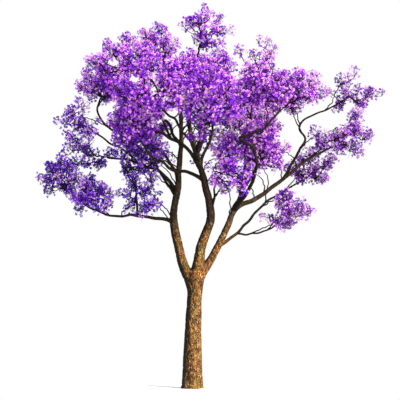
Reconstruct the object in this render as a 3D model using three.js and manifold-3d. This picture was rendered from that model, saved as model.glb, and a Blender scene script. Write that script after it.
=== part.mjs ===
// A jacaranda tree in full bloom, bare of leaves: a slightly leaning trunk that forks into three
// stems, boughs that rise and spread from the stems, and at the tip of each limb a mass of
// violet panicles on branching twigs.
// Millimetres, +Z up. The origin is the middle of the trunk's flat cut at ground level, and the
// tree is looked at along +Y, with +X to the right.
import * as THREE from "three";
import { mergeVertices } from "three/addons/utils/BufferGeometryUtils.js";
import Module from "manifold-3d";

const wasm = await Module();
wasm.setup();

// Trunk
const FORK_HEIGHT = 2480;
const FOOT_DIAMETER = 440;
const WAIST_DIAMETER = 304;
const WAIST_HEIGHT = 1750;
const FORK_DIAMETER = 352;
const TRUNK_LEAN = 95;
const ROOT_FLARE = 18;
const ROOT_FLARE_HEIGHT = 130;
const ROOT_LOBES = 5;
const ROOT_LOBE_DEPTH = 0.06;
const FOOT_TAPER_POWER = 1.1;
// the rounded top of the trunk inside the fork: radii of its rings as shares of the trunk's
const FORK_SHOULDERS = [0.86, 0.5];
const TRUNK_SIDES = 14;
const TRUNK_RINGS = 11;
const TRUNK_RING_POWER = 1.3;

// Limbs
const STEM_SIDES = 9;
const BOUGH_SIDES = 5;
const FEWEST_RINGS = 4;
const STEM_RING_SPACING = 220;
const BOUGH_RING_SPACING = 235;
const STEM_CROOK = 10;
const BOUGH_CROOK = 30;
const CROOK_WAVES = [1150, 1400, 930];
const CROOK_PHASE = 0.37;
// a second, finer crook rides on the first: how many times as many turns, and its share of the swing
const FINE_CROOK_TURNS = 2.6;
const FINE_CROOK_SHARE = 0.3;
const TAPER_POWER = 1.35;
const COLLAR_SWELL = 0.32;
const COLLAR_LENGTH = 1.3;
const STEM_DIAMETER = 150;

// Blossom
const PANICLES = 14;
// sizes of a panicle in a full mass, as shares of the mass's mean half-size
const PANICLE_LENGTH = 0.84;
const PANICLE_WIDTH = 0.68;
const PANICLE_SPACING = 0.57;
const PANICLE_SIZE_SPREAD = 0.35;
const MOST_TRIES = 400;
const OUTWARD_BIAS = 0.26;
const LOWEST_HEADING = -0.8;
const STEM_REACH = [0.28, 0.62];
const PATH_BIAS = 0.3;
const TWIG_TIP_RADIUS = 8;
const TWIG_LOAD_POWER = 0.38;

// Gaps between pieces that touch on the tree
const SEAT_GAP = 0.3;
const CUT_GAP = 0.4;
const CLEARANCE = 4;
const LEAST_LIMB_DETAIL = 0.15;
const LEAST_BLOSSOM_DETAIL = 6;

// Each limb: its name, the limb it grows on and the share of that limb's length where it leaves,
// its base and tip diameters, the points it passes after leaving (the last is its tip), and the
// mass of blossom at its tip with the middle and the half-sizes of that mass's space, and how full
// the mass is.
const limb = (name, on, share, diameters, points, blossom, middle, reach, fullness = 1) => ({
  name, on, share, diameters, points, blossom, middle, reach, fullness,
});

const LIMBS = [
  limb("middle_stem", "trunk", 0.86, [244, 46],
    [[180, -20, 2880], [385, -60, 3560], [310, -80, 4130], [70, -50, 4950], [-70, 20, 5750],
      [130, 90, 7050]],
    "top_tower", [270, 100, 7490], [570, 560, 550], 0.82),
  limb("left_stem", "trunk", 0.82, [232, 44],
    [[-145, 20, 2480], [-350, 60, 3250], [-375, 90, 3720], [-300, 150, 4250], [-235, 250, 5250],
      [-290, 480, 6100], [-560, 900, 6930]],
    "top_left_back", [-800, 1250, 7340], [500, 780, 600]),
  limb("right_stem", "trunk", 0.88, [190, 44],
    [[340, -10, 2600], [690, -40, 3240], [905, -40, 3730], [1330, -60, 3950], [1870, -120, 4330],
      [2390, -200, 4740], [2880, -300, 5000]],
    "far_right_mid", [3090, -400, 5250], [680, 600, 650], 0.78),

  limb("left_low_bough", "left_stem", 0.295, [80, 36],
    [[-760, 0, 3560], [-1350, -190, 3580], [-1990, -260, 3680], [-2560, -230, 4060]],
    "far_left", [-2750, -200, 4350], [450, 540, 470], 0.88),
  limb("left_low_spur", "left_low_bough", 0.62, [44, 30],
    [[-1900, -440, 3720], [-2000, -600, 3880]],
    "left_low", [-2050, -720, 3950], [500, 580, 470], 0.95),
  limb("left_hanging_bough", "left_low_bough", 0.33, [56, 32],
    [[-1170, -300, 3920], [-1210, -400, 4190], [-1330, -480, 4450]],
    "left_hanging", [-1030, -620, 4010], [490, 520, 620], 0.78),
  limb("left_middle_bough", "left_stem", 0.42, [84, 40],
    [[-700, 340, 4560], [-1300, 560, 4790], [-1820, 680, 4880]],
    "left_middle", [-2230, 760, 4970], [600, 660, 520], 0.86),
  limb("left_outer_bough", "left_middle_bough", 0.55, [54, 34],
    [[-1500, 280, 5010], [-2120, 0, 5400]],
    "left_outer", [-2390, -120, 5540], [450, 600, 500], 0.84),
  limb("left_reaching_bough", "middle_stem", 0.5, [84, 38],
    [[-250, -320, 5120], [-780, -480, 5290], [-1300, -260, 5290], [-1640, -20, 5370],
      [-1890, 120, 5600], [-2010, 220, 5830], [-1960, 300, 6090]],
    "left_upper", [-1940, 340, 6400], [550, 760, 490]),
  limb("crossing_bough", "middle_stem", 0.45, [82, 42],
    [[-110, -220, 4500], [-430, -520, 4540], [-760, -900, 4720], [-1000, -1350, 5000]],
    "left_front", [-1160, -1560, 5480], [560, 760, 820]),
  limb("left_inner_bough", "left_stem", 0.4, [74, 38],
    [[-560, 330, 4330], [-760, 500, 4640]],
    "left_inner", [-1080, 520, 4880], [560, 600, 560]),
  limb("left_back_bough", "left_stem", 0.47, [86, 42],
    [[-560, 780, 4920], [-1120, 1360, 5290]],
    "left_back", [-1140, 1700, 5660], [660, 800, 720]),
  limb("back_left_bough", "left_stem", 0.61, [72, 40],
    [[-620, 1000, 5720], [-1230, 1800, 6270]],
    "back_left", [-1520, 2150, 6680], [820, 760, 620]),
  limb("front_left_bough", "middle_stem", 0.53, [80, 42],
    [[-130, -900, 5230], [-560, -1950, 5600]],
    "front_left", [-780, -2400, 5930], [840, 700, 660]),
  limb("top_left_bough", "left_reaching_bough", 0.29, [56, 38],
    [[-600, -520, 5560], [-680, -560, 5900], [-740, -620, 6220], [-1000, -700, 6500]],
    "top_left_front", [-1330, -900, 6700], [820, 800, 560]),
  limb("top_front_bough", "middle_stem", 0.68, [66, 38],
    [[-120, -420, 6020], [-90, -780, 6260]],
    "top_front", [-30, -980, 6340], [720, 760, 600]),
  limb("front_bough", "middle_stem", 0.57, [78, 42],
    [[200, -880, 5420], [370, -1700, 5620]],
    "front_middle", [420, -2180, 5790], [780, 740, 660]),
  limb("front_right_bough", "front_bough", 0.48, [50, 36],
    [[640, -1180, 5600], [1120, -1520, 5800]],
    "front_right", [1440, -1760, 6040], [640, 760, 540]),
  limb("rising_bough", "middle_stem", 0.51, [76, 40],
    [[380, 110, 5290], [500, 230, 5900]],
    "crown_heart", [640, 330, 6490], [720, 720, 660]),
  limb("middle_right_bough", "middle_stem", 0.3, [60, 32],
    [[470, -240, 4130], [560, -480, 4390]],
    "middle_right", [780, -700, 4540], [500, 580, 740], 0.86),
  limb("right_heart_bough", "right_stem", 0.4, [80, 38],
    [[1190, -160, 4330], [1400, -240, 4680]],
    "right_heart", [1460, -360, 4960], [570, 640, 760]),
  limb("right_high_bough", "right_stem", 0.42, [88, 40],
    [[1330, -800, 4480], [1225, -1120, 4870], [980, -1210, 5110], [1470, -1260, 5300],
      [1600, -1200, 5470], [1790, -1020, 5690], [1960, -720, 5840]],
    "right_upper", [2170, -320, 6100], [660, 820, 580]),
  limb("top_right_bough", "right_stem", 0.38, [70, 36],
    [[1180, 240, 4560], [1130, 330, 5300], [1260, 360, 5900], [1360, 390, 6500]],
    "top_right", [1420, 400, 6880], [590, 740, 570], 0.9),
  limb("far_top_bough", "right_stem", 0.72, [62, 34],
    [[2340, -60, 5190], [2290, 40, 5520], [2620, -40, 5730], [3030, -90, 5930]],
    "far_right_top", [3420, -120, 6140], [590, 600, 540], 0.72),
  limb("right_low_bough", "right_stem", 0.21, [72, 34],
    [[1010, 20, 3290], [1480, 80, 3810], [1850, 260, 4080], [2300, 440, 4340]],
    "right_low", [2590, 500, 4600], [620, 680, 470], 0.76),
  limb("low_right_bough", "right_low_bough", 0.22, [44, 30],
    [[1330, -260, 3190], [1720, -580, 3370]],
    "low_right", [1930, -720, 3610], [570, 560, 480], 0.86),
  limb("right_back_bough", "right_stem", 0.36, [82, 42],
    [[1090, 580, 4360], [1150, 1120, 4960]],
    "right_back", [1260, 1480, 5420], [840, 780, 740]),
  limb("back_right_bough", "middle_stem", 0.56, [78, 42],
    [[480, 880, 5740], [1130, 1700, 6140]],
    "back_right", [1420, 2130, 6430], [800, 760, 640]),
  limb("back_bough", "left_stem", 0.7, [66, 40],
    [[-170, 1000, 6230], [-20, 1750, 6470]],
    "back_middle", [40, 2240, 6790], [820, 740, 640]),
];

// Colours: sunlit bark, and blossom that is deepest low on the left and pinkest on the right
const finish = (name, color) =>
  new THREE.MeshStandardMaterial({ name, color, roughness: 0.9, metalness: 0 });
const barkFinish = finish("bark", 0x8f6a3c);
const BLOSSOM_FINISHES = [
  { rightEnd: -900, top: 5200, look: finish("deep_violet_blossom", 0x5b28ad) },
  { rightEnd: 1000, top: Infinity, look: finish("violet_blossom", 0x8a40b8) },
  { rightEnd: Infinity, top: Infinity, look: finish("pink_violet_blossom", 0x9c55c4) },
];

const vector = (point) => new THREE.Vector3(...point);

// The closed solid of a geometry, with its shared vertices merged.
function solidOf(geometry) {
  const bare = geometry.index ? geometry.toNonIndexed() : geometry.clone();
  bare.deleteAttribute("normal");
  bare.deleteAttribute("uv");
  const merged = mergeVertices(bare, 1e-3);
  return new wasm.Manifold(new wasm.Mesh({
    numProp: 3,
    vertProperties: new Float32Array(merged.attributes.position.array),
    triVerts: new Uint32Array(merged.index.array),
  }));
}

// A solid's largest body without details smaller than a size: scraps and sealed hollows are dropped.
function largestBody(solid, leastDetail) {
  return solid.simplify(leastDetail).decompose().reduce((a, b) => (b.volume() > a.volume() ? b : a));
}

function geometryOf(solid) {
  const { numVert, vertProperties, triVerts } = solid.getMesh();
  return new THREE.BufferGeometry()
    .setAttribute("position", new THREE.BufferAttribute(vertProperties.slice(0, numVert * 3), 3))
    .setIndex(new THREE.BufferAttribute(triVerts, 1));
}

// A cylinder whose vertices are carried to place(u, v, ring): u and v lie on the unit disc, and the
// rings are counted from the base.
function carriedCylinder(sides, rings, place) {
  const cylinder = new THREE.CylinderGeometry(1, 1, 1, sides, rings);
  const position = cylinder.attributes.position;
  for (let i = 0; i < position.count; i++) {
    const ring = Math.round((position.getY(i) + 0.5) * rings);
    const moved = place(position.getX(i), -position.getZ(i), ring);
    position.setXYZ(i, moved.x, moved.y, moved.z);
  }
  return solidOf(cylinder);
}

// The trunk as level sections: it narrows from its flared, lobed foot to the waist and swells to
// the fork.
const trunkMiddle = (z) => new THREE.Vector3(TRUNK_LEAN * (z / FORK_HEIGHT) ** 2, 0, z);

function trunkRadius(z) {
  const below = Math.max(0, 1 - z / WAIST_HEIGHT);
  const above = Math.max(0, (z - WAIST_HEIGHT) / (FORK_HEIGHT - WAIST_HEIGHT));
  const flare = ROOT_FLARE * Math.exp(-z / ROOT_FLARE_HEIGHT);
  return (WAIST_DIAMETER + (FOOT_DIAMETER - WAIST_DIAMETER) * below ** FOOT_TAPER_POWER
    + (FORK_DIAMETER - WAIST_DIAMETER) * above ** 2) / 2 + flare;
}

function trunkSolid(grow = 0) {
  const rings = TRUNK_RINGS + FORK_SHOULDERS.length;
  return carriedCylinder(TRUNK_SIDES, rings, (u, v, ring) => {
    const share = Math.min(1, ring / TRUNK_RINGS);
    const z = FORK_HEIGHT * share ** TRUNK_RING_POWER;
    const shoulder = ring > TRUNK_RINGS ? FORK_SHOULDERS[ring - TRUNK_RINGS - 1] : 1;
    const lobeDepth = ROOT_LOBE_DEPTH * Math.exp(-z / (2 * ROOT_FLARE_HEIGHT));
    const lobes = 1 + lobeDepth * Math.cos(ROOT_LOBES * Math.atan2(v, u));
    const radius = trunkRadius(z) * shoulder * lobes + grow;
    const rise = (1 - shoulder) * WAIST_DIAMETER / 3 + (ring === rings ? grow : 0);
    return trunkMiddle(z).add(new THREE.Vector3(u * radius, v * radius, rise));
  });
}

// The line of a limb: a smooth line through its points that wanders from side to side by a sine wave
// and a finer one on each axis, most halfway along.
class CrookedLine extends THREE.Curve {
  constructor(points, swing, phase) {
    super();
    this.smooth = new THREE.CatmullRomCurve3(points, false, "centripetal");
    this.swing = swing;
    this.phase = phase;
  }

  getPoint(t) {
    const way = t * this.smooth.getLength();
    const wander = this.swing * Math.sin(Math.PI * t);
    const swings = CROOK_WAVES.map((wave, axis) => {
      const turn = 2 * Math.PI * (way / wave + this.phase * (axis + 1));
      return wander * (Math.sin(turn) + FINE_CROOK_SHARE * Math.sin(FINE_CROOK_TURNS * turn));
    });
    return this.smooth.getPointAt(t).add(vector(swings));
  }
}

// A limb's line, and its radius along it: a collar where it leaves its parent, then an even taper.
function layLimb(row, laid) {
  const parent = laid.get(row.on);
  const start = parent ? parent.curve.getPointAt(row.share) : trunkMiddle(FORK_HEIGHT * row.share);
  const buried = parent ? parent.radius(row.share) : trunkRadius(FORK_HEIGHT * row.share);
  const isStem = row.diameters[0] > STEM_DIAMETER;
  const crook = isStem ? STEM_CROOK : BOUGH_CROOK;
  const curve = new CrookedLine([start, ...row.points.map(vector)], crook, CROOK_PHASE * laid.size);
  const length = curve.getLength();
  const [base, tip] = row.diameters.map((d) => d / 2);
  const radius = (t) => {
    const clear = Math.max(0, t * length - buried);
    const collar = 1 + COLLAR_SWELL * Math.exp(-clear / (COLLAR_LENGTH * base));
    return tip + (base * collar - tip) * (1 - t) ** TAPER_POWER;
  };
  const spacing = isStem ? STEM_RING_SPACING : BOUGH_RING_SPACING;
  const rings = Math.max(FEWEST_RINGS, Math.round(length / spacing));
  return { ...row, curve, radius, rings, sides: isStem ? STEM_SIDES : BOUGH_SIDES };
}

function limbSolid({ curve, radius, rings, sides }, grow = 0) {
  const { tangents, normals, binormals } = curve.computeFrenetFrames(rings);
  return carriedCylinder(sides, rings, (u, v, ring) => {
    const r = radius(ring / rings) + grow;
    const past = ring === rings ? grow : 0;
    return curve.getPointAt(ring / rings)
      .addScaledVector(normals[ring], u * r)
      .addScaledVector(binormals[ring], v * r)
      .addScaledVector(tangents[ring], past);
  });
}

// Straight stretches of a limb's line with their radii, for keeping twigs and blossom clear of it.
function stretchesOf({ curve, radius, rings }) {
  return Array.from({ length: rings }, (_, i) => ({
    line: new THREE.Line3(curve.getPointAt(i / rings), curve.getPointAt((i + 1) / rings)),
    radius: radius(i / rings),
  }));
}

// Evenly scattered triples from 0 to 1: steps by powers of the root of x^4 = x + 1, shifted by a seed.
const SCATTER_ROOT = 1.2207440846;
const SEED_STEP = 0.618034;
const scatter = (n, seed) =>
  [1, 2, 3].map((power) => (0.5 + seed * SEED_STEP + n / SCATTER_ROOT ** power) % 1);

// How far a point lies inside a mass's own space. The spaces are parted by planes, each where the
// distances squared to two masses' middles, less their mean half-sizes squared, are equal.
const meanReach = ({ reach: [x, y, z] }) => Math.cbrt(x * y * z);

function depthInSpace(point, mass) {
  const power = (m) => point.distanceToSquared(vector(m.middle)) - meanReach(m) ** 2;
  const apart = (m) => vector(m.middle).distanceTo(vector(mass.middle));
  const others = LIMBS.filter((m) => m.name !== mass.name);
  return Math.min(...others.map((m) => (power(m) - power(mass)) / (2 * apart(m))));
}

// A panicle: a stretched eight-sided body, turned by two angles.
function panicleGeometry(middle, size, turns) {
  return new THREE.OctahedronGeometry(0.5)
    .scale(PANICLE_WIDTH * size, PANICLE_WIDTH * size, PANICLE_LENGTH * size)
    .rotateX(turns[0])
    .rotateZ(turns[1])
    .translate(middle.x, middle.y, middle.z);
}

// The corners of a geometry, and the planes of its faces.
function cornersOf(geometry) {
  const position = geometry.attributes.position;
  return Array.from({ length: position.count }, (_, i) =>
    new THREE.Vector3().fromBufferAttribute(position, i));
}

function facesOf(corners) {
  return Array.from({ length: corners.length / 3 }, (_, i) =>
    new THREE.Plane().setFromCoplanarPoints(...corners.slice(3 * i, 3 * i + 3)));
}

// Whether a round stretch of limb reaches into a convex body, by clipping its line to the body's faces.
function reachesInto({ line, radius }, faces) {
  let enters = 0;
  let leaves = 1;
  for (const face of faces) {
    const from = face.distanceToPoint(line.start) - radius - CLEARANCE;
    const to = face.distanceToPoint(line.end) - radius - CLEARANCE;
    if (from > 0 && to > 0) return false;
    if (from > 0) enters = Math.max(enters, from / (from - to));
    else if (to > 0) leaves = Math.min(leaves, from / (from - to));
  }
  return enters <= leaves;
}

// The panicles of a mass: one at each end of its space's axes but the lower, then scattered ones,
// each kept where it stays in the mass's space, clear of the limbs and apart from those before it.
function panicleAt(mass, n, seed) {
  const [first, second, third] = scatter(n, seed);
  const axisEnds = [[-1, 0, 0], [1, 0, 0], [0, -1, 0], [0, 1, 0], [0, 0, 1]];
  const height = LOWEST_HEADING + (1 - LOWEST_HEADING) * second;
  const level = Math.sqrt(1 - height ** 2);
  const turn = 2 * Math.PI * third;
  const heading = n < axisEnds.length
    ? vector(axisEnds[n])
    : new THREE.Vector3(level * Math.cos(turn), level * Math.sin(turn), height);
  const far = n < axisEnds.length ? 1 : first ** OUTWARD_BIAS;
  const share = meanReach(mass) * mass.fullness;
  const room = vector(mass.reach).addScalar(-0.45 * PANICLE_WIDTH * share);
  const middle = heading.clone().multiply(room).multiplyScalar(far).add(vector(mass.middle));
  const size = share * (1 + PANICLE_SIZE_SPREAD * (third - 0.5));
  const geometry = panicleGeometry(middle, size, [2 * Math.PI * first, turn]);
  return { middle, geometry, corners: cornersOf(geometry) };
}

function paniclesOf(mass, seed, stretches) {
  const spacing = PANICLE_SPACING * meanReach(mass);
  const kept = [];
  for (let n = 0; n < MOST_TRIES && kept.length < PANICLES; n++) {
    const panicle = panicleAt(mass, n, seed);
    const faces = facesOf(panicle.corners);
    const apart = kept.every((k) => k.middle.distanceTo(panicle.middle) > spacing);
    const inside = panicle.corners.every((corner) => depthInSpace(corner, mass) > CLEARANCE);
    const free = () => !stretches.some((stretch) => reachesInto(stretch, faces));
    if (apart && inside && free()) kept.push(panicle);
  }
  return kept;
}

// The twigs of a mass. Its stem grows on from the bough's tip towards the middle of the space; then,
// nearest first, each panicle's twig joins the point already grown that lies nearest, counting
// also a share of the way from that point back to the stem's foot.
function growTwigs(mass, seed, stretches) {
  const middle = vector(mass.middle);
  const heading = mass.curve.getTangentAt(1);
  const foot = mass.curve.getPointAt(1).addScaledVector(heading, SEAT_GAP);
  const span = foot.distanceTo(middle);
  const lower = foot.clone().addScaledVector(heading, span * STEM_REACH[0]);
  const upper = lower.clone().lerp(middle, STEM_REACH[1]);
  const points = [
    { at: foot, parent: -1, path: 0 },
    { at: lower, parent: 0, path: foot.distanceTo(lower) },
    { at: upper, parent: 1, path: foot.distanceTo(lower) + lower.distanceTo(upper) },
  ];
  const room = 2 * TWIG_TIP_RADIUS + CLEARANCE;
  const clears = (from, to) => stretches.every(({ line, radius }) =>
    Math.sqrt(line.distanceSqToLine3(new THREE.Line3(from, to))) > radius + room);
  const panicles = paniclesOf(mass, seed, stretches)
    .sort((a, b) => a.middle.distanceTo(foot) - b.middle.distanceTo(foot));
  for (const { middle: at, geometry } of panicles) {
    const joins = points
      .map((point, parent) => ({ parent, way: point.at.distanceTo(at), point }))
      .filter(({ parent }) => parent > 0)
      .sort((a, b) => a.way + PATH_BIAS * a.point.path - b.way - PATH_BIAS * b.point.path)
      .find(({ point }) => clears(point.at, at));
    if (joins) points.push({ at, parent: joins.parent, path: joins.point.path + joins.way, geometry });
  }
  return points;
}

// The twigs as chains: at each point the twig that carries most goes on, and the others start there.
function chainsOf(points) {
  const load = points.map(() => 1);
  for (let i = points.length - 1; i > 0; i--) load[points[i].parent] += load[i];
  const heirs = points.map((_, i) => points.map((p, k) => (p.parent === i ? k : -1)).filter((k) => k > 0)
    .sort((a, b) => load[b] - load[a]));
  const chains = [];
  const follow = (chain) => {
    const [next] = heirs[chain.at(-1)];
    if (next) follow([...chain, next]);
    else chains.push(chain);
  };
  follow([0]);
  heirs.forEach((branches, i) => branches.slice(1).forEach((branch) => follow([i, branch])));
  return { chains, load };
}

// The world axis that headings follow least.
function leastFollowedAxis(headings) {
  const most = (axis) => Math.max(...headings.map((heading) => Math.abs(heading.getComponent(axis))));
  const least = [0, 1, 2].reduce((best, axis) => (most(axis) < most(best) ? axis : best));
  return new THREE.Vector3().setComponent(least, 1);
}

function twigSolid(points, chain, load, footRadius) {
  const places = chain.map((i) => points[i].at);
  const last = chain.length - 1;
  const headings = places.map((_, i) =>
    places[Math.min(i + 1, last)].clone().sub(places[Math.max(i - 1, 0)]).normalize());
  headings[0] = places[1].clone().sub(places[0]).normalize();
  const sideways = leastFollowedAxis(headings);
  return carriedCylinder(3, last, (u, v, ring) => {
    const carried = load[chain[Math.max(ring, chain[0] === 0 ? 0 : 1)]];
    const radius = Math.min(footRadius, TWIG_TIP_RADIUS * carried ** TWIG_LOAD_POWER);
    const across = headings[ring].clone().cross(sideways).normalize();
    const along = headings[ring].clone().cross(across);
    return places[ring].clone().addScaledVector(across, u * radius).addScaledVector(along, v * radius);
  });
}

function massSolid(mass, seed, stretches) {
  const points = growTwigs(mass, seed, stretches);
  const { chains, load } = chainsOf(points);
  const footRadius = 0.9 * mass.radius(1);
  const twigs = chains.map((chain) => twigSolid(points, chain, load, footRadius));
  const panicles = points.filter((point) => point.geometry).map((point) => solidOf(point.geometry));
  return largestBody(wasm.Manifold.union([...twigs, ...panicles]), LEAST_BLOSSOM_DETAIL);
}

// The tree: trunk, then limbs, each cut back from those before it, then the masses at their tips.
const tree = new THREE.Group();

function addPiece(name, solid, material) {
  const mesh = new THREE.Mesh(geometryOf(solid), material);
  mesh.name = name;
  tree.add(mesh);
}

const laid = new Map();
const cutters = [trunkSolid(CUT_GAP)];
addPiece("trunk", trunkSolid(), barkFinish);
for (const row of LIMBS) {
  const grown = layLimb(row, laid);
  const whole = cutters.reduce((solid, cutter) => solid.subtract(cutter), limbSolid(grown));
  addPiece(row.name, largestBody(whole, LEAST_LIMB_DETAIL), barkFinish);
  cutters.push(limbSolid(grown, CUT_GAP));
  laid.set(row.name, grown);
}

const stretches = [...laid.values()].flatMap(stretchesOf);
[...laid.values()].forEach((mass, seed) => {
  const [x, , z] = mass.middle;
  const { look } = BLOSSOM_FINISHES.find(({ rightEnd, top }) => x < rightEnd && z < top);
  addPiece(`${mass.blossom}_blossom`, massSolid(mass, seed + 1, stretches), look);
});

export default tree;
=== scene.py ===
"""A jacaranda tree in full violet bloom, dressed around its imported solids, in metres with +Z up."""

import bpy
import numpy as np
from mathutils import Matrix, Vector


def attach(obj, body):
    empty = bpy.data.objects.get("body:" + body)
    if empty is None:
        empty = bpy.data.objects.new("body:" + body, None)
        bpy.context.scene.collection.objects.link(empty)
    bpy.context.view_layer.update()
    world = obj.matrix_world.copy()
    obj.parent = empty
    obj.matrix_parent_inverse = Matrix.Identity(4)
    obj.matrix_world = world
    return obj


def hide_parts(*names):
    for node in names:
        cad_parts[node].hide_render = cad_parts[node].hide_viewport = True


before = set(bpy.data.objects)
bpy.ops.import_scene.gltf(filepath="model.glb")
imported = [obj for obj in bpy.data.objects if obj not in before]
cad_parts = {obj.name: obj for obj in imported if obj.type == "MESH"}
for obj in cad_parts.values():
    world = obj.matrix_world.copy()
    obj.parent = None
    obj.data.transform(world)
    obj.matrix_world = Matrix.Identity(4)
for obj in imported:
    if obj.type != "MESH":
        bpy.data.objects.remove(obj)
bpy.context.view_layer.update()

# Trunk. The living bole of the tree, hard wood with lobes at its foot where the roots run out. It leans
# a little, is cut flat at ground level and swells at the fork, where it parts into three stems.
FORK_HEIGHT = 2.48
FOOT_DIAMETER = 0.44
WAIST_DIAMETER = 0.304
WAIST_HEIGHT = 1.75
FORK_DIAMETER = 0.352
TRUNK_LEAN = 0.095
ROOT_FLARE = 0.018
ROOT_FLARE_HEIGHT = 0.13
ROOT_LOBES = 5
ROOT_LOBE_DEPTH = 0.06
TRUNK_TAPER_POWER = 1.1
FORK_SWELL_POWER = 2


def trunk_middle(z):
    """The trunk's middle line: its lean grows with the height squared."""
    return TRUNK_LEAN * (z / FORK_HEIGHT) ** 2


def trunk_radius(z):
    """Half the trunk's diameter: it narrows from the foot to the waist, swells to the fork, and flares at
    the ground by an exponential."""
    below = np.maximum(0, 1 - z / WAIST_HEIGHT) ** TRUNK_TAPER_POWER
    above = np.maximum(0, (z - WAIST_HEIGHT) / (FORK_HEIGHT - WAIST_HEIGHT)) ** FORK_SWELL_POWER
    flare = ROOT_FLARE * np.exp(-z / ROOT_FLARE_HEIGHT)
    widening = (FOOT_DIAMETER - WAIST_DIAMETER) * below + (FORK_DIAMETER - WAIST_DIAMETER) * above
    return (WAIST_DIAMETER + widening) / 2 + flare


# Stems and boughs. The trunk forks into three stems, and boughs leave the stems with a swollen collar,
# taper and bend towards the light. All are of the same living wood.
TAPER_POWER = 1.35
COLLAR_SWELL = 0.32
COLLAR_LENGTH = 1.3
THINNEST_STEM = 0.15
STEM_CROOK = 0.01
BOUGH_CROOK = 0.03
CROOK_WAVES = (1.15, 1.4, 0.93)
CROOK_PHASE = 0.37
FINE_CROOK_TURNS = 2.6
FINE_CROOK_SHARE = 0.3
LINE_STEPS = 40

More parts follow.
